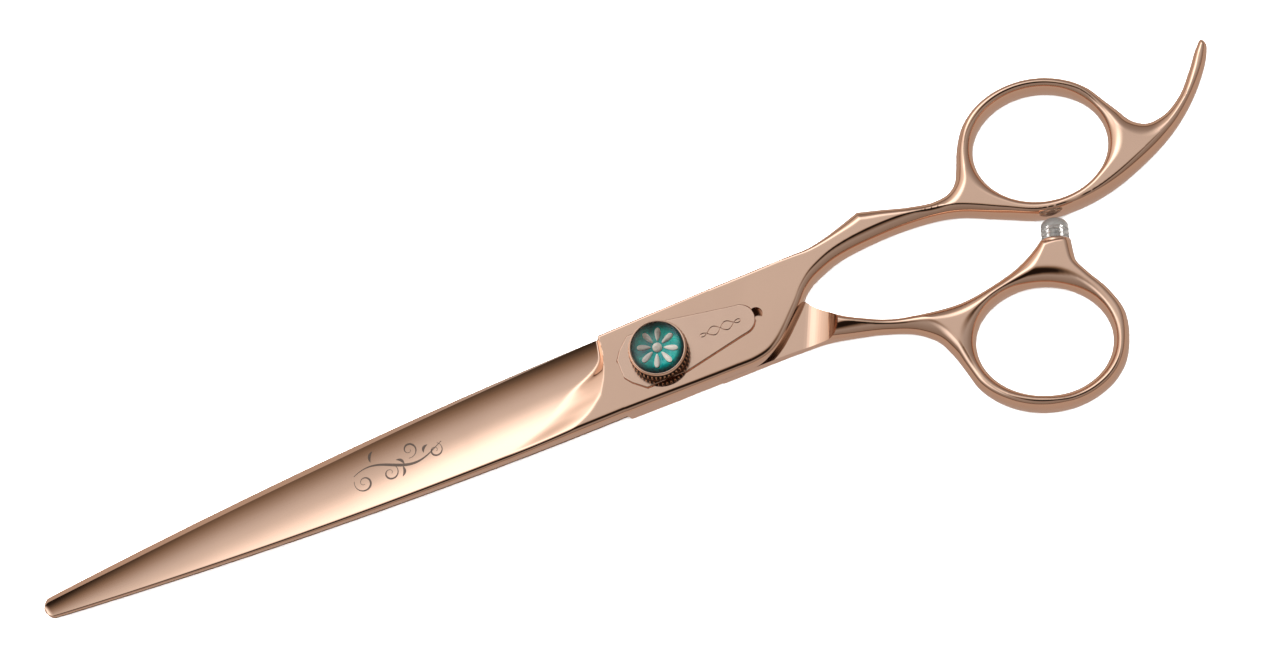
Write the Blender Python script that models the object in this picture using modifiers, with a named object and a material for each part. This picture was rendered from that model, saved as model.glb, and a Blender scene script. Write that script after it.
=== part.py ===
"""Hair cutting shears with a jewelled tension dial.

The finger half carries the ring with the finger rest and lies on top. The thumb half carries the
ring with the rubber bumper and lies underneath. The two turn about one stud. The stud is keyed in
the finger half, its head turns in a counterbore under the thumb half, and a knurled dial on its
threaded end sets the tension, clicking over the nib of a leaf plate let into the finger half.

Sizes are millimetres, and MM turns them into Blender's metres. +X runs from the tips to the
handles, +Z runs up the pivot axis, and z = 0 is the flat face of the stud's head.
"""
import math

import bmesh
import bpy
from mathutils import Matrix, Vector

MM = 0.001
WELD_DISTANCE = 0.012

# Heights above the table
PARTING = 3.4
HALF_GAP = 0.05
PAD_THICK = 3.0
PAD_TOP = PARTING + PAD_THICK
PAD_UNDER = PARTING - PAD_THICK
RING_HALF = 2.95
RING_ROUND = 1.0

# Blade plan: half width of the cutting edge and of the spine at the pad, and what they lose at the tip
TIP_X = -115.6
BLADE_END = -9.4
PAD_START = -8.9
EDGE_WIDTH = 7.5
EDGE_LOSS = 5.7
SPINE_WIDTH = 7.4
SPINE_LOSS = 5.85
TAPER_POWER = 1.84
TIP_ROUND = 1.0
# The closed blades point a little towards the finger ring's side: how far, for each millimetre from the pad
BLADE_LEAN = 0.0018

# Blade section, as (x, value) from the tip to the pad
BEVEL_WIDTH = ((-115.6, 1.0), (-100.0, 1.25), (-60.0, 1.35), (-30.0, 1.0), (-9.4, 0.6))
BEVEL_HEIGHT = ((-115.6, 1.1), (-100.0, 1.2), (-60.0, 1.55), (-30.0, 1.8), (-9.4, 1.9))
SPINE_HEIGHT = ((-115.6, 0.85), (-100.0, 1.0), (-60.0, 1.7), (-30.0, 2.5), (-9.4, 2.9))
HOLLOW_DEPTH = ((-115.6, 0.07), (-100.0, 0.13), (-60.0, 0.38), (-30.0, 0.66), (-9.4, 0.85))
EDGE_LAND = 0.15
SIDE_CHAMFER = 0.35

# The pads as (x, y), for the finger half: the straight side under the cutting edge, and the heel along the
# pad's outer face and along its foot on the parting plane. The thumb half's have y turned over.
FINGER_PAD = {
    "side": ((-9.0, 7.25), (8.0, 7.45), (30.0, 7.45), (34.0, 8.3)),
    "heel": ((-9.0, -7.5), (0.0, -7.7), (10.0, -7.85), (14.0, -7.5), (20.0, -5.0), (24.0, -1.3), (29.0, 4.0), (34.0, 6.2)),
    "foot": ((-9.0, -7.5), (0.0, -7.75), (12.0, -8.05), (18.0, -7.6), (22.0, -4.7), (26.0, -1.0), (30.0, 2.4), (34.0, 3.7)),
    "end": 34.0,
}
THUMB_PAD = {
    "side": ((-9.0, 7.2), (0.0, 7.4), (16.0, 7.75), (26.0, 8.1), (30.0, 8.6)),
    "heel": ((-9.0, -7.5), (0.0, -7.7), (10.0, -7.85), (14.0, -7.5), (20.0, -5.0), (24.0, -1.3), (30.0, 5.2)),
    "foot": ((-9.0, -7.5), (0.0, -7.75), (12.0, -8.05), (18.0, -7.6), (22.0, -4.7), (26.0, -1.0), (28.0, 1.6), (30.0, 4.0)),
    "end": 29.5,
}

# The rings: centre and half axes of each hole, tilt, and half axes of each ring's outer side
FINGER_HOLE = (74.8, 9.1)
FINGER_AXES = (11.8, 10.1)
FINGER_TILT = math.radians(-15.0)
FINGER_OUTER_AXES = (14.6, 12.45)
THUMB_HOLE = (62.2, -23.7)
THUMB_AXES = (11.85, 9.95)
THUMB_TILT = math.radians(-24.0)
THUMB_OUTER = (62.0, -23.95)
THUMB_OUTER_AXES = (14.7, 12.2)

# Where each handle's inner side is ground away, so that the other half's heel can pass
SCOOP_START = 24.6
SCOOP_RADIUS = 7.5
SCOOP_LIFT = 0.04
SCOOP_TURN = math.radians(25.0)

# Pivot hardware
HEAD_RADIUS = 4.5
HEAD_TOP = 1.25
COUNTERBORE_RADIUS = 4.7
COUNTERBORE_TOP = 1.75
STUD_RADIUS = 2.5
STUD_FLAT = 2.05
THREAD_RADIUS = 2.0
THREAD_TOP = PARTING + 5.35
BUSH_RADIUS = 3.4
RUNNING_FIT = 0.05
SLIP_RADIUS = 5.5
SLIP_THICK = 0.5
SPANNER_HOLE_RADIUS = 0.55
SPANNER_HOLE_OFFSET = 2.6

# Click plate, let into the finger half's pad and standing a little over it
PLATE_THICK = 0.8
PLATE_RISE = 0.2
PLATE_BORE_RADIUS = 3.6
PLATE_HEAD_END = -7.3
PLATE_HALF_WIDTH = 5.0
PLATE_TIP_CENTRE = 15.0
PLATE_TIP_RADIUS = 2.7
PLATE_CLEARANCE = 0.12
TOOL_HOLE_X = 18.0
TOOL_HOLE_RADIUS = 1.15
NIB_PLACE = (4.15, 0.0)
NIB_RADIUS = 0.35
NIB_RISE = 0.15

# Tension dial and its jewel
DIAL_RADIUS = 5.25
DIAL_BOTTOM = PAD_TOP + 0.4
DIAL_TOP = PARTING + 6.25
DIAL_FLUTES = 40
FLUTE_DEPTH = 0.22
CLICK_NOTCHES = 16
NUT_RADIUS = 3.3
NUT_TOP = DIAL_TOP - 0.75
CUP_RADIUS = 4.55
CUP_FLOOR = DIAL_TOP - 0.6
BEZEL_TOP = DIAL_TOP + 0.55
JEWEL_RADIUS = 4.6
JEWEL_SEAT = DIAL_TOP + 0.06
JEWEL_TOP = PARTING + 8.1
PETALS = 8

# Bumper between the rings
BUMPER_BASE = (70.85, -7.5)
BUMPER_LEAN = math.radians(18.0)
BUMPER_RADIUS = 2.45
BUMPER_HEIGHT = 4.05
POST_RADIUS = 1.0
POST_DEPTH = 4.0


def clear_scene():
    for obj in list(bpy.data.objects):
        bpy.data.objects.remove(obj, do_unlink=True)


def make_collection(name):
    collection = bpy.data.collections.new(name)
    bpy.context.scene.collection.children.link(collection)
    return collection


def make_material(name, colour, roughness, metallic, transmission=0.0):
    material = bpy.data.materials.new(name)
    material.use_nodes = True
    shader = material.node_tree.nodes["Principled BSDF"]
    shader.inputs["Base Color"].default_value = (*colour, 1.0)
    shader.inputs["Roughness"].default_value = roughness
    shader.inputs["Metallic"].default_value = metallic
    shader.inputs["Transmission Weight"].default_value = transmission
    material.diffuse_color = (*colour, 1.0)
    return material


def add_mesh(name, points, faces, collection):
    """A new object from points in millimetres."""
    mesh = bpy.data.meshes.new(name)
    mesh.from_pydata([Vector(p) * MM for p in points], [], faces)
    mesh.update()
    obj = bpy.data.objects.new(name, mesh)
    collection.objects.link(obj)
    return obj


def loft(name, sections, collection):
    """A closed body through sections that each hold the same number of points."""
    count = len(sections[0])
    points = [point for section in sections for point in section]
    faces = []
    for row in range(len(sections) - 1):
        for k in range(count):
            a = row * count + k
            b = row * count + (k + 1) % count
            faces.append((a, b, b + count, a + count))
    last = (len(sections) - 1) * count
    faces.append(tuple(reversed(range(count))))
    faces.append(tuple(range(last, last + count)))
    obj = add_mesh(name, points, faces, collection)
    outward(obj)
    return obj


def outward(obj):
    edit = bmesh.new()
    edit.from_mesh(obj.data)
    bmesh.ops.recalc_face_normals(edit, faces=edit.faces)
    edit.to_mesh(obj.data)
    edit.free()


def turned(name, profile, collection, steps=40, place=(0.0, 0.0, 0.0)):
    """A body of revolution about Z. The profile is (radius, z), from the top down the outer side."""
    edges = [(k, k + 1) for k in range(len(profile) - 1)]
    if profile[0][0] > 0 or profile[-1][0] > 0:
        edges.append((len(profile) - 1, 0))
    mesh = bpy.data.meshes.new(name)
    mesh.from_pydata([(r * MM, 0.0, z * MM) for r, z in profile], edges, [])
    obj = bpy.data.objects.new(name, mesh)
    collection.objects.link(obj)
    obj.location = Vector(place) * MM
    screw = obj.modifiers.new("turn", "SCREW")
    screw.steps = steps
    screw.render_steps = steps
    screw.use_merge_vertices = True
    screw.merge_threshold = 0.00001
    screw.use_smooth_shade = True
    return obj


def outline_plate(name, outlines, z_low, z_high, rounding, collection, resolution=4, closed_corners=()):
    """A flat plate from smooth closed outlines, its edges rounded, as a mesh. Later outlines are holes."""
    curve = bpy.data.curves.new(name, "CURVE")
    curve.dimensions = "2D"
    curve.fill_mode = "BOTH"
    curve.resolution_u = resolution
    curve.extrude = ((z_high - z_low) / 2 - rounding) * MM
    curve.bevel_depth = rounding * MM
    curve.bevel_resolution = 1
    curve.offset = -rounding * MM
    for outline in outlines:
        spline = curve.splines.new("BEZIER")
        spline.bezier_points.add(len(outline) - 1)
        spline.use_cyclic_u = True
        for bezier, point in zip(spline.bezier_points, outline):
            kind = "VECTOR" if tuple(point) in closed_corners else "AUTO"
            bezier.co = Vector((point[0], point[1], 0.0)) * MM
            bezier.handle_left_type = kind
            bezier.handle_right_type = kind
    guide = bpy.data.objects.new(name + "_outline", curve)
    collection.objects.link(guide)
    bpy.context.view_layer.update()
    graph = bpy.context.evaluated_depsgraph_get()
    mesh = bpy.data.meshes.new_from_object(guide.evaluated_get(graph))
    bpy.data.objects.remove(guide, do_unlink=True)
    edit = bmesh.new()
    edit.from_mesh(mesh)
    bmesh.ops.remove_doubles(edit, verts=edit.verts, dist=0.002 * MM)
    bmesh.ops.translate(edit, verts=edit.verts, vec=(0.0, 0.0, (z_low + z_high) / 2 * MM))
    bmesh.ops.recalc_face_normals(edit, faces=edit.faces)
    edit.to_mesh(mesh)
    edit.free()
    obj = bpy.data.objects.new(name, mesh)
    collection.objects.link(obj)
    return obj


def ellipse(centre, axes, tilt, start=0.0, stop=2 * math.pi, count=12, closed=True):
    """Points on an ellipse, from the start angle to the stop angle."""
    spans = count if closed else count - 1
    points = []
    for k in range(count):
        angle = start + (stop - start) * k / spans
        u = axes[0] * math.cos(angle)
        v = axes[1] * math.sin(angle)
        x = centre[0] + u * math.cos(tilt) - v * math.sin(tilt)
        y = centre[1] + u * math.sin(tilt) + v * math.cos(tilt)
        points.append((x, y))
    return points


def cylinder(name, radius, low, high, collection, place=(0.0, 0.0), vertices=32):
    edit = bmesh.new()
    bmesh.ops.create_cone(
        edit, cap_ends=True, segments=vertices, radius1=radius * MM, radius2=radius * MM, depth=(high - low) * MM
    )
    mesh = bpy.data.meshes.new(name)
    edit.to_mesh(mesh)
    edit.free()
    obj = bpy.data.objects.new(name, mesh)
    collection.objects.link(obj)
    obj.location = (place[0] * MM, place[1] * MM, (low + high) / 2 * MM)
    return obj


def block(name, low, high, collection):
    edit = bmesh.new()
    bmesh.ops.create_cube(edit, size=1.0)
    size = (Vector(high) - Vector(low)) * MM
    bmesh.ops.scale(edit, vec=size, verts=edit.verts)
    mesh = bpy.data.meshes.new(name)
    edit.to_mesh(mesh)
    edit.free()
    obj = bpy.data.objects.new(name, mesh)
    collection.objects.link(obj)
    obj.location = (Vector(low) + Vector(high)) / 2 * MM
    return obj


def as_cutter(obj):
    obj.hide_render = True
    obj.display_type = "WIRE"
    return obj


def combine(obj, other, operation):
    modifier = obj.modifiers.new(operation.lower() + "_" + other.name, "BOOLEAN")
    modifier.operation = operation
    modifier.object = as_cutter(other)
    modifier.solver = "EXACT"


def cut(obj, other):
    combine(obj, other, "DIFFERENCE")


def join(obj, other):
    combine(obj, other, "UNION")


def smooth(part):
    part = min(max(part, 0.0), 1.0)
    return part * part * (3.0 - 2.0 * part)


def along(table, x):
    """The value at x of a line through (x, value) pairs."""
    if x <= table[0][0]:
        return table[0][1]
    for (x0, v0), (x1, v1) in zip(table, table[1:]):
        if x <= x1:
            return v0 + (v1 - v0) * (x - x0) / (x1 - x0)
    return table[-1][1]


def blade_section(x):
    """Points (y, height over the parting plane) of one blade, from its cutting edge over to its spine."""
    reach = (BLADE_END - x) / (BLADE_END - TIP_X)
    lost = reach**TAPER_POWER
    tip = 1.0
    if x < TIP_X + TIP_ROUND:
        inset = 1.0 - (x - TIP_X) / TIP_ROUND
        tip = math.sqrt(max(1.0 - inset * inset, 0.16))
    edge = (EDGE_WIDTH - EDGE_LOSS * lost) * tip
    spine = -(SPINE_WIDTH - SPINE_LOSS * lost) * tip
    ridge_y = edge - along(BEVEL_WIDTH, x) * tip
    ridge_z = along(BEVEL_HEIGHT, x)
    spine_z = along(SPINE_HEIGHT, x)
    points = [(edge, HALF_GAP), (edge, HALF_GAP + EDGE_LAND), (ridge_y, ridge_z)]
    for share in (0.25, 0.5, 0.75):
        # The hollow fades out towards the pad, first on the spine side
        fade = smooth((-11.0 - 7.0 * share - x) / 4.0)
        dip = along(HOLLOW_DEPTH, x) * 4.0 * share * (1.0 - share) * fade
        points.append((ridge_y + (spine - ridge_y) * share, ridge_z + (spine_z - ridge_z) * share - dip))
    points.append((spine + 0.25 * tip, spine_z))
    points.append((spine, HALF_GAP))
    return points


def lean(x):
    return BLADE_LEAN * (BLADE_END - x) - 0.1


def pad_section(x, pad):
    side = along(pad["side"], x)
    top = along(pad["heel"], x)
    foot = along(pad["foot"], x)
    inner = side - SIDE_CHAMFER
    points = [(side, HALF_GAP), (side, PAD_THICK - SIDE_CHAMFER), (inner, PAD_THICK)]
    for share in (0.25, 0.5, 0.75):
        points.append((inner + (top - inner) * share, PAD_THICK))
    points.append((top, PAD_THICK))
    points.append((foot, HALF_GAP))
    return points


def blade_and_pad(name, flip, pad, collection):
    """One blade with its pad. flip is 1 for the finger half, and -1 for the thumb half, turned over about X."""
    blade_x = [TIP_X, TIP_X + 0.3, TIP_X + 0.8, TIP_X + TIP_ROUND]
    blade_x += [-106.0 + 12.0 * k for k in range(8)]
    blade_x += [-18.0, -15.0, -12.5, -11.0, BLADE_END]
    pad_x = [PAD_START, 0.0] + [10.0 + 2.0 * k for k in range(10)] + [pad["end"]]
    rings = []
    for x in sorted(blade_x):
        rings.append([(x, flip * y + lean(x), PARTING + flip * z) for y, z in blade_section(x)])
    for x in pad_x:
        rings.append([(x, flip * y, PARTING + flip * z) for y, z in pad_section(x, pad)])
    return loft(name, rings, collection)


def scoop(name, flip, collection):
    """The cylinder that hollows a handle's inner side. flip is as in blade_and_pad."""
    obj = cylinder(name, SCOOP_RADIUS, -25.0, 25.0, collection, vertices=64)
    along_handle = Vector((math.cos(SCOOP_TURN), flip * math.sin(SCOOP_TURN), 0.0))
    centre = along_handle * SCOOP_START
    height = PARTING - flip * (SCOOP_RADIUS - HALF_GAP - SCOOP_LIFT)
    lie_down = Matrix.Rotation(math.radians(90.0), 4, "X")
    obj.matrix_world = (
        Matrix.Translation(Vector((centre.x, centre.y, height)) * MM)
        @ Matrix.Rotation(flip * SCOOP_TURN, 4, "Z")
        @ lie_down
    )
    return obj


def thin_out(obj, start, stop, share):
    """Thins a handle's thickness about the parting plane, from full at x = start to share at x = stop."""
    for vertex in obj.data.vertices:
        part = smooth((vertex.co.x / MM - start) / (stop - start))
        scale = 1.0 + (share - 1.0) * part
        vertex.co.z = PARTING * MM + (vertex.co.z - PARTING * MM) * scale


def finger_handle(collection):
    arc = ellipse(FINGER_HOLE, FINGER_OUTER_AXES, FINGER_TILT, math.radians(32), math.radians(172), 7, closed=False)
    under = [(27.5, 1.6), (30.0, 2.9), (34.0, 3.95), (41.0, 4.65), (48.0, 4.65), (56.0, 3.45), (64.0, -0.15)]
    under += [(70.0, -2.8), (76.0, -3.55), (82.0, -2.95), (90.0, -0.5), (98.0, 3.45), (104.0, 8.25), (107.9, 13.4)]
    rest = [(108.8, 15.3), (107.8, 16.1), (106.7, 15.2), (104.0, 11.9), (100.0, 7.75), (96.5, 5.95), (93.5, 5.75)]
    rest += [(91.2, 7.3), (89.8, 9.8)]
    shank = [(59.7, 11.0), (58.6, 8.9), (57.0, 7.6), (54.5, 7.2), (50.0, 7.9), (44.5, 9.65), (41.0, 10.75)]
    shank += [(37.0, 9.5), (33.0, 8.0), (29.5, 7.1), (27.0, 5.0)]
    outline = under + rest + arc + shank
    hole = list(reversed(ellipse(FINGER_HOLE, FINGER_AXES, FINGER_TILT)))
    obj = outline_plate(
        "finger_handle", [outline, hole], PARTING - RING_HALF, PARTING + RING_HALF, RING_ROUND, collection,
        closed_corners=((41.0, 10.75),),
    )
    thin_out(obj, 88.0, 108.0, 0.66)
    return obj


def thumb_handle(collection):
    arc = ellipse(THUMB_OUTER, THUMB_OUTER_AXES, THUMB_TILT, math.radians(18), math.radians(-158), 9, closed=False)
    top = [(28.0, -3.0), (31.0, -5.2), (35.0, -7.6), (40.0, -9.75), (46.0, -11.1), (52.0, -11.65), (58.0, -10.9)]
    top += [(63.0, -9.55), (66.2, -8.05)]
    boss = [(68.4, -6.7), (73.4, -8.3)]
    flank = [(72.95, -10.5), (72.65, -13.0), (73.75, -16.0)]
    under = [(46.6, -19.2), (45.6, -16.5), (43.0, -14.1), (38.0, -11.7), (32.0, -9.9), (27.0, -8.6), (25.5, -6.0)]
    outline = list(reversed(top + boss + flank + arc + under))
    hole = list(reversed(ellipse(THUMB_HOLE, THUMB_AXES, THUMB_TILT)))
    return outline_plate(
        "thumb_handle", [outline, hole], PARTING - RING_HALF, PARTING + RING_HALF, RING_ROUND, collection,
        closed_corners=tuple(boss),
    )


def plate_outline(grow=0.0):
    """Half the click plate's outline mirrored about X: a clipped head, and an arm with a round end."""
    side = [(PLATE_HEAD_END - grow, 1.65), (-6.2 - grow, 3.2), (-4.2, PLATE_HALF_WIDTH + grow)]
    side += [(3.2, PLATE_HALF_WIDTH + grow), (PLATE_TIP_CENTRE - 1.0, PLATE_TIP_RADIUS + 0.2 + grow)]
    tip = []
    for k in range(1, 6):
        angle = math.radians(90.0 - 90.0 * k / 6.0)
        tip_x = PLATE_TIP_CENTRE + (PLATE_TIP_RADIUS + grow) * math.cos(angle)
        tip.append((tip_x, (PLATE_TIP_RADIUS + grow) * math.sin(angle)))
    upper = side + tip
    end = [(PLATE_TIP_CENTRE + PLATE_TIP_RADIUS + grow, 0.0)]
    return upper + end + [(x, -y) for x, y in reversed(upper)]


def prism(name, outline, low, high, collection):
    """An upright body over a closed outline of straight sides."""
    rings = [[(x, y, z) for x, y in outline] for z in (low, high)]
    return loft(name, rings, collection)


def bumper_frame():
    """The matrix that puts +Z along the bumper's axis, with its base at the origin."""
    axis_turn = Matrix.Rotation(-BUMPER_LEAN, 4, "Z") @ Matrix.Rotation(math.radians(-90.0), 4, "X")
    base = Vector((BUMPER_BASE[0], BUMPER_BASE[1], PARTING)) * MM
    return Matrix.Translation(base) @ axis_turn


def finish(obj, material, smooth_angle=35.0):
    """Closes the slivers that Booleans leave, and gives the part its material and shading."""
    if any(modifier.type == "BOOLEAN" for modifier in obj.modifiers):
        weld = obj.modifiers.new("close_slivers", "WELD")
        weld.merge_threshold = WELD_DISTANCE * MM
    obj.data.materials.clear()
    obj.data.materials.append(material)
    obj.data.shade_smooth()
    obj.data.set_sharp_from_angle(angle=math.radians(smooth_angle))


def build_finger_half(parts, cutters, gold):
    obj = blade_and_pad("finger_half", 1, FINGER_PAD, parts)
    handle = finger_handle(cutters)
    cut(handle, scoop("finger_scoop", 1, cutters))
    join(obj, handle)
    recess_floor = PAD_TOP + PLATE_RISE - PLATE_THICK - PLATE_CLEARANCE
    cut(obj, prism("plate_recess", plate_outline(PLATE_CLEARANCE), recess_floor, PAD_TOP + 2.0, cutters))
    cut(obj, cylinder("tool_hole", TOOL_HOLE_RADIUS, recess_floor - 0.8, PAD_TOP + 1.0, cutters, (TOOL_HOLE_X, 0.0)))
    cut(obj, key_hole(PARTING - 1.0, PAD_TOP + 1.0, cutters))
    slip_top = PARTING + HALF_GAP + SLIP_THICK
    cut(obj, cylinder("slip_recess", SLIP_RADIUS + 0.1, PARTING - 1.0, slip_top, cutters))
    finish(obj, gold)
    return obj


def build_thumb_half(parts, cutters, gold):
    obj = blade_and_pad("thumb_half", -1, THUMB_PAD, parts)
    handle = thumb_handle(cutters)
    cut(handle, scoop("thumb_scoop", -1, cutters))
    join(obj, handle)
    cut(obj, cylinder("counterbore", COUNTERBORE_RADIUS, PAD_UNDER - 1.0, COUNTERBORE_TOP, cutters))
    cut(obj, cylinder("bush_bore", BUSH_RADIUS + RUNNING_FIT, PAD_UNDER, PARTING + 1.0, cutters, vertices=40))
    socket = cylinder("post_socket", POST_RADIUS + RUNNING_FIT, 0.0, 1.0, cutters, vertices=20)
    depth = POST_DEPTH + 0.3
    socket.matrix_world = (
        bumper_frame()
        @ Matrix.Translation((0.0, 0.0, (1.0 - depth) / 2 * MM))
        @ Matrix.Diagonal((1.0, 1.0, depth + 1.0, 1.0))
    )
    cut(obj, socket)
    finish(obj, gold)
    return obj


def key_hole(low, high, collection):
    """A round hole with two flats, in which the stud can't turn."""
    radius = STUD_RADIUS + RUNNING_FIT
    limit = STUD_FLAT + RUNNING_FIT
    flat_end = math.asin(limit / radius)
    outline = []
    for middle in (0.0, math.pi):
        for k in range(-6, 7):
            angle = middle + flat_end * k / 6
            outline.append((radius * math.cos(angle), radius * math.sin(angle)))
    return prism("key_hole", outline, low, high, collection)


def build_stud(parts, cutters, steel):
    obj = turned(
        "pivot_stud",
        [
            (0.0, THREAD_TOP),
            (THREAD_RADIUS - 0.3, THREAD_TOP),
            (THREAD_RADIUS, THREAD_TOP - 0.3),
            (THREAD_RADIUS, PAD_TOP - 0.3),
            (STUD_RADIUS, PAD_TOP - 0.3),
            (STUD_RADIUS, HEAD_TOP),
            (HEAD_RADIUS, HEAD_TOP),
            (HEAD_RADIUS, 0.4),
            (HEAD_RADIUS - 0.4, 0.0),
            (0.0, 0.0),
        ],
        parts,
        steps=40,
    )
    for side in (-1, 1):
        near = min(side * STUD_FLAT, side * 4.0)
        far = max(side * STUD_FLAT, side * 4.0)
        cut(obj, block(f"stud_flat_{side}", (-4.0, near, PARTING - 0.2), (4.0, far, PAD_TOP + 0.5), cutters))
        hole = cylinder(
            f"spanner_hole_{side}", SPANNER_HOLE_RADIUS, -1.0, 0.7, cutters, (side * SPANNER_HOLE_OFFSET, 0.0), 16
        )
        cut(obj, hole)
    finish(obj, steel)
    return obj


def washer(name, inner, outer, low, high, parts, material, steps=40):
    obj = turned(name, [(inner, high), (outer, high), (outer, low), (inner, low)], parts, steps)
    finish(obj, material)
    return obj


def build_click_plate(parts, cutters, gold):
    top = PAD_TOP + PLATE_RISE
    obj = prism("click_plate", plate_outline(), top - PLATE_THICK, top, parts)
    cut(obj, cylinder("plate_bore", PLATE_BORE_RADIUS, top - 2.0, top + 1.0, cutters))
    edit = bmesh.new()
    bmesh.ops.create_uvsphere(edit, u_segments=12, v_segments=8, radius=NIB_RADIUS * MM)
    mesh = bpy.data.meshes.new("nib")
    edit.to_mesh(mesh)
    edit.free()
    nib = bpy.data.objects.new("nib", mesh)
    cutters.objects.link(nib)
    nib.location = Vector((NIB_PLACE[0], NIB_PLACE[1], top - NIB_RADIUS + NIB_RISE)) * MM
    join(obj, nib)
    finish(obj, gold)
    return obj


def build_dial(parts, cutters, gold):
    """A knurled cup: fine flutes round it, click notches under it, and a seat for the jewel on top."""
    levels = [
        (DIAL_BOTTOM, -0.35, 0.0),
        (DIAL_BOTTOM + 0.35, 0.0, FLUTE_DEPTH),
        (DIAL_TOP - 0.3, 0.0, FLUTE_DEPTH),
        (DIAL_TOP, -0.3, 0.0),
    ]
    rings = []
    for z, inset, depth in levels:
        ring = []
        for k in range(2 * DIAL_FLUTES):
            angle = math.pi * k / DIAL_FLUTES
            radius = DIAL_RADIUS + inset - (depth if k % 2 else 0.0)
            ring.append((radius * math.cos(angle), radius * math.sin(angle), z))
        rings.append(ring)
    obj = loft("dial", rings, parts)
    cut(obj, cylinder("nut_seat", NUT_RADIUS + RUNNING_FIT, DIAL_BOTTOM - 1.0, NUT_TOP + 0.05, cutters))
    cut(obj, cylinder("jewel_cup", CUP_RADIUS, CUP_FLOOR, DIAL_TOP + 1.0, cutters))
    for k in range(CLICK_NOTCHES):
        angle = 2 * math.pi * k / CLICK_NOTCHES
        notch = cylinder(f"click_notch_{k:02d}", 0.42, -0.68, 0.68, cutters, vertices=8)
        notch.matrix_world = (
            Matrix.Rotation(angle, 4, "Z")
            @ Matrix.Translation(Vector((NIB_PLACE[0], 0.0, DIAL_BOTTOM - 0.2)) * MM)
            @ Matrix.Rotation(math.radians(90.0), 4, "Y")
        )
        cut(obj, notch)
    finish(obj, gold, 25.0)
    return obj


def build_dial_nut(parts, cutters, steel):
    obj = cylinder("dial_nut", NUT_RADIUS, DIAL_BOTTOM, NUT_TOP, parts, vertices=32)
    bore = cylinder("nut_bore", THREAD_RADIUS + RUNNING_FIT, DIAL_BOTTOM - 1.0, NUT_TOP + 1.0, cutters)
    cut(obj, bore)
    finish(obj, steel)
    return obj


def build_jewel(parts, glass):
    """A domed stone with a flat back and a thin girdle."""
    girdle = JEWEL_SEAT + 0.35
    rise = JEWEL_TOP - girdle
    dome_radius = (JEWEL_RADIUS**2 + rise**2) / (2 * rise)
    half_angle = math.asin(JEWEL_RADIUS / dome_radius)
    profile = []
    for k in range(9):
        angle = half_angle * k / 8
        profile.append((dome_radius * math.sin(angle), JEWEL_TOP - dome_radius * (1 - math.cos(angle))))
    profile += [(JEWEL_RADIUS, JEWEL_SEAT), (0.0, JEWEL_SEAT)]
    obj = turned("jewel", profile, parts, steps=40)
    finish(obj, glass)
    return obj


def build_bezel(parts, gold):
    """A thin ring pressed round the stone's girdle."""
    inner = JEWEL_RADIUS + 0.04
    profile = [
        (inner, BEZEL_TOP - 0.1),
        (inner + 0.12, BEZEL_TOP),
        (inner + 0.32, BEZEL_TOP - 0.12),
        (inner + 0.42, DIAL_TOP + 0.03),
        (inner, DIAL_TOP + 0.03),
    ]
    obj = turned("bezel", profile, parts, steps=40)
    finish(obj, gold)
    return obj


def build_rosette(parts, foil):
    """The foil ornament under the stone: round petals on a small disc, as one flat star."""
    outline = []
    per_petal = 8
    for k in range(PETALS * per_petal):
        angle = 2 * math.pi * k / (PETALS * per_petal)
        swell = abs(math.cos(PETALS * angle / 2))
        radius = 1.3 + 2.3 * swell**0.6
        outline.append((radius * math.cos(angle), radius * math.sin(angle)))
    obj = prism("rosette", outline, JEWEL_SEAT - 0.22, JEWEL_SEAT - 0.06, parts)
    finish(obj, foil)
    return obj


def build_bumper(parts, cutters, rubber):
    straight = BUMPER_HEIGHT - 1.5
    profile = [(0.0, BUMPER_HEIGHT)]
    for k in range(1, 7):
        angle = math.radians(90.0 - 15.0 * k)
        profile.append((BUMPER_RADIUS * math.cos(angle), straight + 1.5 * math.sin(angle)))
    profile += [(BUMPER_RADIUS, 1.5), (BUMPER_RADIUS - 0.25, 1.2), (BUMPER_RADIUS, 0.9)]
    profile += [(BUMPER_RADIUS, 0.1), (0.0, 0.1)]
    obj = turned("bumper", profile, parts, steps=32)
    obj.matrix_world = bumper_frame()
    hollow = cylinder("post_hollow", POST_RADIUS + 0.04, -1.0, 2.44, cutters, vertices=20)
    hollow.matrix_world = bumper_frame() @ hollow.matrix_basis
    cut(obj, hollow)
    finish(obj, rubber)
    return obj


def build_post(parts, steel):
    profile = [
        (0.0, 2.3),
        (POST_RADIUS - 0.3, 2.3),
        (POST_RADIUS, 2.0),
        (POST_RADIUS, 0.4 - POST_DEPTH),
        (POST_RADIUS - 0.4, -POST_DEPTH),
        (0.0, -POST_DEPTH),
    ]
    obj = turned("bumper_post", profile, parts, steps=20)
    obj.matrix_world = bumper_frame()
    finish(obj, steel)
    return obj


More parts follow.
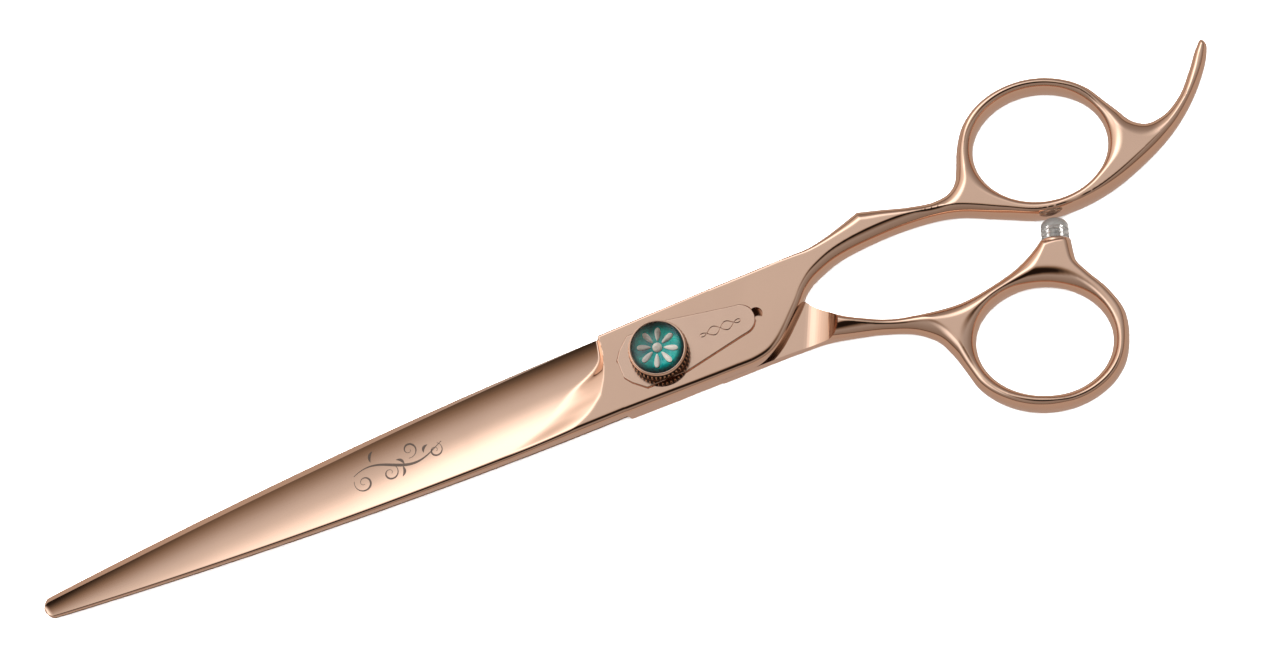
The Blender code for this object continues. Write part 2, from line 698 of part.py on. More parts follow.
def build():
    clear_scene()
    parts = make_collection("hair_cutting_shears")
    cutters = make_collection("cutters")
    gold = make_material("rose_gold_polished", (0.78, 0.56, 0.46), 0.12, 1.0)
    steel = make_material("stainless_steel", (0.62, 0.61, 0.60), 0.25, 1.0)
    bronze = make_material("bronze", (0.60, 0.42, 0.24), 0.35, 1.0)
    slip = make_material("slip_plastic", (0.88, 0.87, 0.83), 0.45, 0.0)
    glass = make_material("emerald_glass", (0.01, 0.33, 0.32), 0.05, 0.0, 0.5)
    foil = make_material("rose_foil", (0.86, 0.66, 0.58), 0.3, 1.0)
    backing = make_material("dark_backing", (0.01, 0.10, 0.13), 0.3, 0.0)
    rubber = make_material("clear_rubber", (0.62, 0.63, 0.62), 0.25, 0.0, 0.6)

    build_finger_half(parts, cutters, gold)
    build_thumb_half(parts, cutters, gold)
    build_stud(parts, cutters, steel)
    washer("head_washer", STUD_RADIUS + 0.1, HEAD_RADIUS - 0.1, HEAD_TOP + 0.05, COUNTERBORE_TOP - 0.05, parts, slip)
    bush_low = COUNTERBORE_TOP + 0.02
    washer("pivot_bush", STUD_RADIUS + RUNNING_FIT, BUSH_RADIUS, bush_low, PARTING - HALF_GAP - 0.03, parts, bronze)
    slip_low = PARTING - HALF_GAP + 0.03
    slip_high = PARTING + HALF_GAP + SLIP_THICK - 0.03
    washer("slip_washer", STUD_RADIUS + 0.15, SLIP_RADIUS, slip_low, slip_high, parts, slip)
    build_click_plate(parts, cutters, gold)
    washer("dial_washer", THREAD_RADIUS + 0.4, 3.5, PAD_TOP + 0.03, DIAL_BOTTOM - 0.03, parts, slip)
    build_dial(parts, cutters, gold)
    build_dial_nut(parts, cutters, steel)
    washer("jewel_backing", 0.0, CUP_RADIUS - 0.05, CUP_FLOOR + 0.03, JEWEL_SEAT - 0.28, parts, backing)
    build_rosette(parts, foil)
    build_jewel(parts, glass)
    build_bezel(parts, gold)
    build_bumper(parts, cutters, rubber)
    build_post(parts, steel)


build()
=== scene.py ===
"""Looks of the hair cutting shears: fine meshes, procedural materials and soft studio light.

Sizes are millimetres, and MM turns them into metres. Each half is made in its own frame: x runs from the tips
to the handles, y towards its finger ring, and w is the height over the plane where the halves meet. The thumb
half is the finger half's frame turned over about X.
"""
import math

import bmesh
import bpy
import numpy as np
from mathutils import Matrix, Vector


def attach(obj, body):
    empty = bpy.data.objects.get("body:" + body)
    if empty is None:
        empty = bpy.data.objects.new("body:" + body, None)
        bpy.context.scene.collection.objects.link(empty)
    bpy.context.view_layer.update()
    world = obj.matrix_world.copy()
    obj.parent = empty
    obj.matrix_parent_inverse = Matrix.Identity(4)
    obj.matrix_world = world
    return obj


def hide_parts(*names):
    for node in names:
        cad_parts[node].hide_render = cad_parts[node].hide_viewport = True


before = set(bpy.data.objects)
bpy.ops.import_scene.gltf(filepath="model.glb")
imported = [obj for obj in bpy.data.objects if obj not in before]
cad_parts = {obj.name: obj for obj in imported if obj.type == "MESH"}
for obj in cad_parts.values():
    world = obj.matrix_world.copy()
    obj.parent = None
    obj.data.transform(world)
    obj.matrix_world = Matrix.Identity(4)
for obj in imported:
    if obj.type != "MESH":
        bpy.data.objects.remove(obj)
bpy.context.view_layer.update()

MM = 0.001
PARTING = 3.4
HALF_GAP = 0.05
PAD_HEIGHT = 3.0
PAD_TOP = PARTING + PAD_HEIGHT
PLATE_TOP = PAD_TOP + 0.2
GRID = 0.22


# ---------------------------------------------------------------- meshes

def mesh_object(name, points, faces):
    mesh = bpy.data.meshes.new(name)
    corners = [tuple(int(i) for i in face) for face in faces]
    mesh.from_pydata([tuple(p) for p in np.asarray(points, float) * MM], [], corners)
    mesh.update()
    obj = bpy.data.objects.new(name, mesh)
    bpy.context.scene.collection.objects.link(obj)
    return obj


def outward(obj):
    edit = bmesh.new()
    edit.from_mesh(obj.data)
    bmesh.ops.recalc_face_normals(edit, faces=edit.faces)
    edit.to_mesh(obj.data)
    edit.free()


def loft(name, rings, caps=True):
    count = len(rings[0])
    points = [p for ring in rings for p in ring]
    faces = []
    for row in range(len(rings) - 1):
        for k in range(count):
            a = row * count + k
            b = row * count + (k + 1) % count
            faces.append((a, b, b + count, a + count))
    if caps:
        last = (len(rings) - 1) * count
        faces.append(tuple(reversed(range(count))))
        faces.append(tuple(range(last, last + count)))
    obj = mesh_object(name, points, faces)
    outward(obj)
    return obj


def circle(radius, steps, centre=(0.0, 0.0)):
    angles = [2 * math.pi * k / steps for k in range(steps)]
    return [(centre[0] + radius * math.cos(t), centre[1] + radius * math.sin(t)) for t in angles]


def lathe(name, profile, steps=96):
    """A closed body of revolution about Z from (radius, z) pairs; pairs with radius 0 become one point."""
    points = []
    rows = []
    for radius, z in profile:
        if radius < 1e-6:
            rows.append([len(points)] * steps)
            points.append((0.0, 0.0, z))
            continue
        rows.append([len(points) + k for k in range(steps)])
        points += [(x, y, z) for x, y in circle(radius, steps)]
    faces = []
    closed = profile[0][0] > 1e-6 or profile[-1][0] > 1e-6
    pairs = list(zip(rows, rows[1:])) + ([(rows[-1], rows[0])] if closed else [])
    for upper, lower in pairs:
        for k in range(steps):
            n = (k + 1) % steps
            face = []
            for index in (upper[k], upper[n], lower[n], lower[k]):
                if index not in face:
                    face.append(index)
            if len(face) > 2:
                faces.append(face)
    obj = mesh_object(name, points, faces)
    outward(obj)
    return obj


def boolean(obj, other, operation):
    """Applies an exact Boolean and removes the other body."""
    modifier = obj.modifiers.new("cut", "BOOLEAN")
    modifier.operation = operation
    modifier.object = other
    modifier.solver = "EXACT"
    graph = bpy.context.evaluated_depsgraph_get()
    mesh = bpy.data.meshes.new_from_object(obj.evaluated_get(graph))
    obj.modifiers.clear()
    old = obj.data
    obj.data = mesh
    bpy.data.meshes.remove(old)
    bpy.data.objects.remove(other, do_unlink=True)


def cut(obj, other):
    boolean(obj, other, "DIFFERENCE")


def prism(name, outline, low, high):
    return loft(name, [[(x, y, low) for x, y in outline], [(x, y, high) for x, y in outline]])


def disc_cutter(name, radius, low, high, steps=64, place=(0.0, 0.0)):
    return prism(name, circle(radius, steps, place), low, high)


def shade(obj, angle=32.0, weighted=True):
    obj.data.shade_smooth()
    obj.data.set_sharp_from_angle(angle=math.radians(angle))
    if weighted:
        normals = obj.modifiers.new("face_weights", "WEIGHTED_NORMAL")
        normals.keep_sharp = True
        normals.weight = 80


def smooth(part):
    part = np.clip(part, 0.0, 1.0)
    return part * part * (3.0 - 2.0 * part)


def table(pairs, x):
    xs, values = zip(*pairs)
    return np.interp(x, xs, values)


def soft_table(pairs, x, ease=2.0):
    """Like table, with the corners of the line eased."""
    total = 0.0
    for shift in (-1.0, -0.6, -0.2, 0.2, 0.6, 1.0):
        total = total + table(pairs, x + shift * ease)
    return total / 6.0


# ---------------------------------------------------------------- handles as a smooth closed surface

def spline(points, corners=(), closed=False, step=0.25):
    """A dense smooth line through the points, with sharp turns at the corners."""
    p = [np.array(q, float) for q in points]
    n = len(p)
    line = []
    for k in range(n if closed else n - 1):
        a = p[k]
        b = p[(k + 1) % n]
        length = np.linalg.norm(b - a)
        slopes = []
        for index in (k, (k + 1) % n):
            if (not closed and index in (0, n - 1)) or tuple(points[index]) in corners:
                slopes.append(b - a)
                continue
            back = p[index] - p[index - 1]
            ahead = p[(index + 1) % n] - p[index]
            near = np.linalg.norm(back)
            far = np.linalg.norm(ahead)
            slopes.append((back / near * far + ahead / far * near) / (near + far) * length)
        count = max(2, int(length / step))
        for j in range(count):
            t = j / count
            from_a = (2 * t**3 - 3 * t**2 + 1) * a + (t**3 - 2 * t**2 + t) * slopes[0]
            from_b = (-2 * t**3 + 3 * t**2) * b + (t**3 - t**2) * slopes[1]
            line.append(from_a + from_b)
    if not closed:
        line.append(p[-1])
    return np.array(line)


def ellipse(centre, axes, tilt, start=0.0, stop=360.0, count=16, closed=True):
    spans = count if closed else count - 1
    turn = math.radians(tilt)
    points = []
    for k in range(count):
        angle = math.radians(start + (stop - start) * k / spans)
        u = axes[0] * math.cos(angle)
        v = axes[1] * math.sin(angle)
        points.append((centre[0] + u * math.cos(turn) - v * math.sin(turn),
                       centre[1] + u * math.sin(turn) + v * math.cos(turn)))
    return points


def distance_to(line, points, closed=False):
    a = line if closed else line[:-1]
    b = np.roll(line, -1, axis=0) if closed else line[1:]
    best = np.full(len(points), 1e9)
    d = b - a
    size = (d * d).sum(1)
    for k in range(len(a)):
        if size[k] < 1e-12:
            continue
        rel = points - a[k]
        t = np.clip(rel @ d[k] / size[k], 0.0, 1.0)
        off = rel - t[:, None] * d[k]
        best = np.minimum(best, (off * off).sum(1))
    return np.sqrt(best)


def inside(polygon, points):
    x, y = points[:, 0], points[:, 1]
    result = np.zeros(len(points), bool)
    for (x0, y0), (x1, y1) in zip(polygon, np.roll(polygon, -1, axis=0)):
        if y0 != y1:
            result ^= ((y0 > y) != (y1 > y)) & (x < (x1 - x0) * (y - y0) / (y1 - y0) + x0)
    return result


class Field:
    """Signed distances to a handle's sides on a grid, read with cubic interpolation."""

    def __init__(self, sides, hole, low, high, step):
        self.low = np.array(low, float)
        self.step = step
        self.shape = tuple(int(math.ceil((h - l) / step)) + 1 for l, h in zip(low, high))
        gx = low[0] + step * np.arange(self.shape[0])
        gy = low[1] + step * np.arange(self.shape[1])
        grid = np.stack(np.meshgrid(gx, gy, indexing="ij"), -1).reshape(-1, 2)
        outline = np.concatenate([sides[0][:-1], sides[1][::-1][:-1]])
        solid = inside(outline, grid)
        hollow = inside(hole, grid)
        far = [distance_to(line, grid) for line in sides] + [distance_to(hole, grid, closed=True)]
        nearest = np.argmin(np.stack(far[:2]), 0)
        maps = [np.where(~solid & (nearest == k), -far[k], far[k]) for k in range(2)]
        maps.append(np.where(hollow, -far[2], far[2]))
        self.maps = [m.reshape(self.shape) for m in maps]

    def read(self, points):
        """The three signed distances at points (n, 2)."""
        u = (points - self.low) / self.step
        i = np.clip(np.floor(u).astype(int), 1, np.array(self.shape) - 3)
        f = u - i
        out = []

        def weights(t):
            return np.stack([
                -0.5 * t + t**2 - 0.5 * t**3,
                1 - 2.5 * t**2 + 1.5 * t**3,
                0.5 * t + 2 * t**2 - 1.5 * t**3,
                -0.5 * t**2 + 0.5 * t**3,
            ])

        wx, wy = weights(f[:, 0]), weights(f[:, 1])
        for m in self.maps:
            value = 0.0
            for a in range(4):
                for b in range(4):
                    value = value + wx[a] * wy[b] * m[i[:, 0] + a - 1, i[:, 1] + b - 1]
            out.append(value)
        return out


def handle_function(field, shape):
    """Positive inside the handle: near a side the surface falls from its full height to the outline."""

    def value(points):
        x = points[:, 0]
        distances = field.read(points[:, :2])
        total = np.zeros(len(points))
        for d, (reach, power) in zip(distances, (shape["inner"], shape["outer"], shape["hole"])):
            u = np.maximum(0.0, 1.0 - d / soft_table(reach, x))
            total = total + u ** soft_table(power, x)
        w = np.abs(points[:, 2]) / soft_table(shape["height"], x)
        return 1.0 - total - w ** soft_table(shape["crown"], x)

    return value


def surface_net(value, low, high, step):
    """Closed quads around the region where value is positive."""
    counts = [int(round((h - l) / step)) + 1 for l, h in zip(low, high)]
    axes = [l + step * np.arange(c) for l, c in zip(low, counts)]
    grid = np.stack(np.meshgrid(*axes, indexing="ij"), -1).reshape(-1, 3)
    f = value(grid).reshape(counts)
    f[0], f[-1] = -1.0, -1.0
    sign = f > 0
    nx, ny, nz = counts
    cells = (nx - 1, ny - 1, nz - 1)
    total = np.zeros(cells + (3,))
    hits = np.zeros(cells)
    corner = np.stack(np.meshgrid(*[np.arange(c) for c in cells], indexing="ij"), -1).astype(float)
    for axis in range(3):
        others = [a for a in range(3) if a != axis]
        for s in (0, 1):
            for t in (0, 1):
                start = [0, 0, 0]
                start[others[0]], start[others[1]] = s, t
                end = list(start)
                end[axis] = 1
                f0 = f[tuple(slice(o, o + c) for o, c in zip(start, cells))]
                f1 = f[tuple(slice(o, o + c) for o, c in zip(end, cells))]
                cross = (f0 > 0) != (f1 > 0)
                with np.errstate(divide="ignore", invalid="ignore"):
                    part = np.where(cross, f0 / (f0 - f1), 0.0)
                place = np.array(start, float)
                for a in range(3):
                    total[..., a] += np.where(cross, place[a] + (part if a == axis else 0.0), 0.0)
                hits += cross
    active = hits > 0
    index = -np.ones(cells, int)
    index[active] = np.arange(active.sum())
    where = corner[active] + total[active] / hits[active][:, None]
    points = np.array(low) + step * where
    faces = []
    for axis in range(3):
        a, b = [(1, 2), (2, 0), (0, 1)][axis]
        lo = [slice(None)] * 3
        hi = [slice(None)] * 3
        lo[axis], hi[axis] = slice(0, -1), slice(1, None)
        change = sign[tuple(lo)] != sign[tuple(hi)]
        inner = sign[tuple(lo)]
        ids = np.argwhere(change)
        keep = (ids[:, a] > 0) & (ids[:, b] > 0) & (ids[:, a] < cells[a]) & (ids[:, b] < cells[b])
        ids = ids[keep]
        quad = []
        for da, db in ((-1, -1), (0, -1), (0, 0), (-1, 0)):
            c = ids.copy()
            c[:, a] += da
            c[:, b] += db
            quad.append(index[c[:, 0], c[:, 1], c[:, 2]])
        quad = np.stack(quad, 1)
        flip = ~inner[ids[:, 0], ids[:, 1], ids[:, 2]]
        quad[flip] = quad[flip][:, ::-1]
        faces.append(quad)
    return points, np.concatenate(faces)


def settle(points, faces, value, step, rounds=5, fixed=None):
    """Moves the points onto the surface and evens them out along it."""
    edges = np.concatenate([faces[:, [0, 1]], faces[:, [1, 2]], faces[:, [2, 3]], faces[:, [3, 0]]])
    n = len(points)
    degree = np.maximum(np.bincount(edges.ravel(), minlength=n), 1)
    h = 0.01

    def gradient(p):
        g = np.zeros_like(p)
        for a in range(3):
            d = np.zeros(3)
            d[a] = h
            g[:, a] = (value(p + d) - value(p - d)) / (2 * h)
        return g

    for turn in range(rounds):
        g = gradient(points)
        size = np.maximum((g * g).sum(1), 1e-9)
        move = -value(points)[:, None] * g / size[:, None]
        length = np.linalg.norm(move, axis=1)
        move *= np.minimum(1.0, 0.4 * step / np.maximum(length, 1e-12))[:, None]
        move[fixed] = 0.0
        points = points + move
        if turn >= rounds - 2:
            continue
        near = np.zeros_like(points)
        for a in range(3):
            near[:, a] = np.bincount(edges[:, 0], points[edges[:, 1], a], n)
            near[:, a] += np.bincount(edges[:, 1], points[edges[:, 0], a], n)
        drift = near / degree[:, None] - points
        normal = g / np.sqrt(size)[:, None]
        drift -= (drift * normal).sum(1)[:, None] * normal
        drift[fixed] = 0.0
        points = points + 0.6 * drift
    return points


def handle(name, inner, outer, hole, shape, end, flip):
    """A handle as a closed mesh, from its start on the pad to its far end."""
    top = 40.0 if flip < 0 else 24.0
    field = Field([inner, outer], hole, (HANDLE_START - 1.5, -10.5), (end + 1.5, top), 0.25)
    value = handle_function(field, shape)
    half_height = int(round(3.5 / GRID)) * GRID
    high_y = max(inner[:, 1].max(), outer[:, 1].max()) + 1.0
    low = (HANDLE_START, -9.5, -half_height)
    points, faces = surface_net(value, low, (end + 1.0, high_y, half_height), GRID)
    fixed = points[:, 0] < HANDLE_START + 1.2 * GRID
    points = settle(points, faces, value, GRID, fixed=fixed)
    points[:, 1] *= flip
    points[:, 2] = PARTING + flip * points[:, 2]
    obj = mesh_object(name, points, faces)
    outward(obj)
    return obj


# ------------------------------------------------ outlines of the two halves, in their own frames

FINGER_INNER = [(6.0, -7.85), (12.0, -8.0), (15.0, -8.0), (18.0, -7.4), (20.0, -6.3), (22.0, -4.75),
                (24.0, -2.95), (26.0, -1.1), (28.0, 0.9), (30.0, 2.3), (32.0, 3.15), (34.0, 3.8),
                (38.0, 4.45), (41.0, 4.65), (48.0, 4.65), (56.0, 3.45), (64.0, -0.15), (70.0, -2.8),
                (76.0, -3.55), (82.0, -3.15), (90.0, -0.85), (98.0, 3.15), (104.0, 8.25), (107.9, 13.4),
                (108.85, 15.4)]
FINGER_OUTER_PAD = [(6.0, 7.6), (12.0, 7.65), (20.0, 7.65), (27.0, 7.75), (31.0, 7.9), (34.0, 8.55),
                    (37.0, 9.45), (41.0, 10.75), (44.5, 9.65), (50.0, 7.9), (54.3, 7.2), (56.9, 7.6),
                    (58.6, 8.9), (59.7, 11.0)]
FINGER_OUTER_REST = [(89.8, 9.8), (91.2, 7.3), (93.5, 5.75), (96.5, 5.95), (100.0, 7.75), (104.0, 11.9),
                     (106.7, 15.2), (107.8, 16.15), (108.85, 15.4)]
FINGER_HOLE = ((74.8, 9.1), (11.8, 10.1), -15.0)
FINGER_RING = ((74.8, 9.1), (14.6, 12.45), -15.0)
FINGER_PEAK = (41.0, 10.75)
FINGER_END = 108.85
THUMB_INNER = [(6.0, -7.85), (12.0, -8.0), (15.0, -8.0), (18.0, -7.4), (20.0, -6.3), (22.0, -4.75),
               (24.0, -2.9), (26.0, -0.6), (28.0, 2.2), (31.0, 5.15), (35.0, 7.6), (40.0, 9.75),
               (46.0, 11.1), (52.0, 11.65), (58.0, 10.9), (63.0, 9.55), (66.2, 8.05), (68.4, 6.7),
               (73.4, 8.3)]
THUMB_OUTER_PAD = [(6.0, 7.85), (12.0, 7.98), (16.0, 8.04), (22.0, 8.2), (27.0, 8.7), (32.0, 9.9),
                   (38.0, 11.7), (43.0, 14.1), (45.4, 16.5), (46.6, 19.2)]
THUMB_OUTER_FLANK = [(77.0, 24.3), (75.85, 19.3), (73.75, 15.0), (72.75, 12.4), (72.95, 10.5), (73.4, 8.3)]
THUMB_HOLE = ((62.2, 23.7), (11.85, 9.95), 24.0)
THUMB_RING = ((62.0, 23.95), (14.7, 12.2), 22.0)
THUMB_SEAT_CORNER = (68.4, 6.7)
THUMB_END = 78.5
HANDLE_START = 8.0

# For each side of a handle: how far in from it the surface falls, and with what power. Both vary with x.
FINGER_SHAPE = {
    "inner": ([(8, 1.0), (20, 1.05), (26, 1.2), (30, 1.5), (36, 1.8), (42, 2.0), (48, 1.9), (54, 1.7),
               (58, 1.5), (63, 1.4), (66, 1.2), (72, 0.8), (80, 0.85), (84, 1.2), (90, 1.4), (96, 1.3),
               (108, 0.8)],
              [(8, 2.0), (16, 2.0), (24, 1.2), (60, 1.15), (66, 1.35), (74, 1.7), (82, 1.5), (92, 1.3),
               (108, 1.6)]),
    "outer": ([(8, 0.45), (26, 0.5), (34, 1.2), (41, 2.3), (46, 1.7), (50, 1.6), (56, 3.0), (60, 2.6),
               (64, 1.2), (86, 1.2), (90, 3.4), (96, 3.4), (100, 2.0), (108, 0.9)],
              [(8, 2.0), (40, 2.0), (108, 2.0)]),
    "hole": ([(8, 3.2), (60, 3.0), (64, 1.3), (84, 1.2), (88, 3.2), (108, 3.8)],
             [(8, 2.0), (108, 2.0)]),
    "height": [(8, 2.99), (64, 2.99), (70, 3.05), (84, 3.05), (90, 2.95), (100, 2.4), (108, 1.9)],
    "crown": [(8, 9.0), (20, 8.0), (28, 3.4), (36, 2.6), (60, 2.4), (108, 2.2)],
}
THUMB_SHAPE = {
    "inner": ([(8, 1.0), (28, 1.2), (36, 1.35), (44, 1.8), (50, 3.0), (58, 1.8), (62, 2.8), (66, 3.0),
               (69, 1.2), (73, 0.9)],
              [(8, 2.0), (73, 2.0)]),
    "outer": ([(8, 0.5), (24, 0.6), (30, 2.4), (36, 2.9), (40, 2.8), (46, 2.8), (50, 1.8), (54, 1.35),
               (80, 1.35)],
              [(8, 2.0), (24, 2.0), (30, 1.35), (44, 1.35), (52, 2.0), (80, 2.0)]),
    "hole": ([(8, 3.2), (50, 3.0), (54, 1.3), (60, 1.3), (64, 3.0), (71, 3.2), (74, 1.5), (80, 1.35)],
             [(8, 2.0), (80, 2.0)]),
    "height": [(8, 2.99), (60, 2.99), (66, 3.05), (80, 3.05)],
    "crown": [(8, 9.0), (20, 8.0), (28, 3.2), (36, 2.4), (80, 2.2)],
}

# ---------------------------------------------------------------- blades

TIP_X = -115.6
BLADE_END = -9.4
TIP_ROUND = 1.5
LEAN = 0.0018
LOFT_END = 12.0
CROWN_START = 3.0

# Along the blade, from the tip to the pad.
BEVEL_WIDTH = [(-115.6, 1.0), (-100.0, 1.25), (-60.0, 1.35), (-30.0, 1.0), (-9.4, 0.6)]
BEVEL_HEIGHT = [(-115.6, 1.2), (-100.0, 1.32), (-60.0, 1.6), (-30.0, 1.8), (-9.4, 1.9)]
SPINE_HEIGHT = [(-115.6, 0.85), (-100.0, 0.98), (-60.0, 1.7), (-30.0, 2.5), (-9.4, 2.96)]
SPINE_CORNER = [(-115.6, 0.25), (-100.0, 0.32), (-60.0, 0.65), (-30.0, 0.95), (-9.4, 1.0), (4.0, 1.02),
                (12.0, 1.4)]
HEEL_SIDE = [(-9.4, 7.44), (-9.0, 7.5), (0.0, 7.72), (12.0, 8.0)]
EDGE_SIDE = {1: [(-9.0, 7.38), (0.0, 7.5), (12.0, 7.65)], -1: [(-9.0, 7.38), (0.0, 7.6), (12.0, 7.84)]}
DIP_SHARE = [(-115.6, 0.025), (-100.0, 0.027), (-60.0, 0.038), (-30.0, 0.053), (-15.0, 0.062), (-9.4, 0.064)]

# Across the blade, from the spine to the edge.
SWEEP_END = [(-8.0, -22.5), (-7.3, -20.3), (-6.5, -18.3), (-4.9, -14.8), (-2.6, -12.0), (0.0, -10.5),
             (2.0, -9.75), (4.0, -9.15), (6.4, -8.8), (8.0, -8.75)]
SWEEP_WIDTH = [(-8.0, 15.0), (-6.0, 13.0), (-4.0, 10.5), (-2.0, 9.0), (0.0, 7.0), (1.5, 3.0), (3.0, 1.0),
               (6.4, 0.65), (8.0, 0.5)]


def between(low, high, part):
    return low + (high - low) * part


def reach(x):
    return np.clip((BLADE_END - x) / (BLADE_END - TIP_X), 0.0, 1.0)


def sweep_end(y):
    """Where the ground hollow ends on the pad."""
    return soft_table(SWEEP_END, y, 0.5)


def sweep_width(y):
    """How long the hollow takes to rise to the pad."""
    return soft_table(SWEEP_WIDTH, y, 0.6)


def blade_plan(x, flip):
    """Where the edge, the ridge and the spine stand at x, and their heights."""
    lost = reach(x) ** 1.84
    tip = 1.0
    if x < TIP_X + TIP_ROUND:
        inset = 1.0 - (x - TIP_X) / TIP_ROUND
        tip = math.sqrt(max(1.0 - inset * inset, 0.09))
    pad = float(smooth((x + 9.35) / 0.55))
    edge = between((7.5 - 5.7 * lost) * tip, table(EDGE_SIDE[flip], x), pad)
    spine = -(7.44 - 5.7 * lost) * tip if x < BLADE_END else -table(HEEL_SIDE, x)
    bevel = soft_table(BEVEL_WIDTH, x) * tip
    ridge = edge - bevel
    return {
        "x": x, "tip": tip, "edge": edge, "spine": spine, "bevel": bevel, "ridge": ridge,
        "width": ridge - spine,
        "ridge_w": soft_table(BEVEL_HEIGHT, x), "spine_w": soft_table(SPINE_HEIGHT, x),
        "dip": soft_table(DIP_SHARE, x) * (ridge - spine), "corner": soft_table(SPINE_CORNER, x) * tip,
    }


def rounded(distance, radius):
    """How far a rounded corner falls below its flat, at a distance from its side."""
    inset = max(0.0, radius - distance)
    return radius - math.sqrt(max(0.0, radius * radius - inset * inset))


def crowned(distance, reach):
    """How far the handles' own corner, which the pad takes over, falls below its flat."""
    inset = max(0.0, 1.0 - distance / reach)
    return 2.99 * (1.0 - max(0.0, 1.0 - inset * inset) ** (1.0 / 9.0))


def blade_height(plan, y):
    """The upper surface over the parting plane."""
    edge, width = plan["edge"], plan["width"]
    if y >= plan["ridge"]:
        blade = 0.2 + (plan["ridge_w"] - 0.2) * (edge - y) / plan["bevel"]
    else:
        s = (plan["ridge"] - y) / width
        blade = plan["ridge_w"] + (plan["spine_w"] - plan["ridge_w"]) * s - plan["dip"] * 4 * s * (1 - s)
    if plan["x"] > CROWN_START:
        corner_drop = crowned(y - plan["spine"], 1.0)
        flat = PAD_HEIGHT - crowned(edge - y, 0.45)
    else:
        corner_drop = rounded(y - plan["spine"], plan["corner"])
        flat = PAD_HEIGHT - rounded(edge - y, 0.45)
    sweep = float(np.clip((plan["x"] - sweep_end(y) + sweep_width(y)) / sweep_width(y), 0.0, 1.0))
    w = between(blade, flat, sweep ** 1.9) - corner_drop
    return max(w * plan["tip"] ** 0.25, HALF_GAP + 0.12)


def blade_rows(x, flip):
    """(y, w) points of the upper surface at x, from the cutting edge over to the spine."""
    plan = blade_plan(x, flip)
    rows = [plan["edge"] - plan["bevel"] * (1.0 - math.cos(math.pi / 2 * k / 8)) for k in range(9)]
    rows += [plan["ridge"] - (plan["width"] - plan["corner"]) * k / 46 for k in range(1, 47)]
    for k in range(1, 15):
        share = math.sin(math.pi / 2 * k / 14)
        rows.append(plan["spine"] + plan["corner"] * (1.0 - share) if k < 14 else plan["spine"] + 0.002)
    surface = [(y, blade_height(plan, y)) for y in rows]
    return [(plan["edge"], HALF_GAP)] + surface + [(plan["spine"], HALF_GAP)]


def blade(name, flip):
    xs = [TIP_X + TIP_ROUND * (1.0 - math.cos(math.pi / 2 * k / 9)) for k in range(9)]
    xs += list(np.arange(TIP_X + TIP_ROUND + 1.0, -37.0, 1.5))
    xs += list(np.arange(-36.0, -12.0, 0.3))
    xs += list(np.arange(-12.0, -8.2, 0.1))
    xs += [-8.0, -4.0, 0.0, 4.0, 8.0, LOFT_END]
    rings = []
    for x in xs:
        side = LEAN * (BLADE_END - x) if x < BLADE_END else 0.0
        rings.append([(x, flip * y + side, PARTING + flip * w) for y, w in blade_rows(x, flip)])
    return loft(name, rings)


def scoop_cutter(flip):
    """Clears a handle's inner side near the pivot: flat on the parting plane, then up a cylinder."""
    radius, start, turn = 7.5, 24.6, math.radians(25.0)
    reach_out, top = 30.0, HALF_GAP + 0.01
    profile = [(-reach_out, top), (start, top)]
    for k in range(1, 25):
        angle = math.pi / 2 * k / 24
        profile.append((start + radius * math.sin(angle), top - radius * (1.0 - math.cos(angle))))
    profile += [(start + radius, -12.0), (-reach_out, -12.0)]
    rings = []
    for across in (-reach_out, reach_out):
        ring = []
        for s, w in profile:
            x = s * math.cos(turn) - across * math.sin(turn)
            y = s * math.sin(turn) + across * math.cos(turn)
            ring.append((x, flip * y, PARTING + flip * w))
        rings.append(ring)
    return loft("scoop", rings)


def plate_outline(grow=0.0):
    """The click leaf from above, blunt towards the tips and round towards the handles."""
    upper = [(-7.3 - grow, 1.65), (-6.2 - grow, 3.2), (-4.2, 5.0 + grow), (3.2, 5.0 + grow),
             (14.0, 2.9 + grow)]
    for k in range(1, 14):
        angle = math.radians(90.0 - 90.0 * k / 14.0)
        upper.append((15.0 + (2.7 + grow) * math.cos(angle), (2.7 + grow) * math.sin(angle)))
    return upper + [(17.7 + grow, 0.0)] + [(x, -y) for x, y in reversed(upper)]


def key_outline():
    outline = []
    radius, limit = 2.55, 2.1
    for middle in (0.0, math.pi):
        for k in range(-8, 9):
            angle = middle + math.asin(limit / radius) * k / 8
            outline.append((radius * math.cos(angle), radius * math.sin(angle)))
    return outline


def bumper_frame():
    turn = Matrix.Rotation(math.radians(-18.0), 4, "Z") @ Matrix.Rotation(math.radians(-90.0), 4, "X")
    return Matrix.Translation(Vector((70.85, -7.5, PARTING)) * MM) @ turn


def shear_half(name, flip, inner, outer, hole, shape, end):
    """The blade and the pad of one half, joined to its handle."""
    hole_line = spline(ellipse(*hole, count=24), closed=True)
    body = handle(name + "_grip", inner, outer, hole_line, shape, end, flip)
    cut(body, scoop_cutter(flip))
    obj = blade(name + "_shear_half", flip)
    boolean(obj, body, "UNION")
    return obj


def build_finger_half():
    arc = ellipse(*FINGER_RING, 172.0, 32.0, 9, closed=False)
    outer = spline(FINGER_OUTER_PAD + arc + FINGER_OUTER_REST, corners=(FINGER_PEAK,))
    obj = shear_half("finger", 1, spline(FINGER_INNER), outer, FINGER_HOLE, FINGER_SHAPE, FINGER_END)
    floor = PLATE_TOP - 0.92
    above = PAD_TOP + 1.0
    cut(obj, prism("recess", plate_outline(0.16), floor, above))
    cut(obj, disc_cutter("tool_hole", 1.2, floor - 1.9, above, 48, (18.0, 0.0)))
    cut(obj, prism("key", key_outline(), PARTING - 1.0, above))
    cut(obj, disc_cutter("slip", 5.6, PARTING - 1.0, PARTING + 0.55))
    return obj


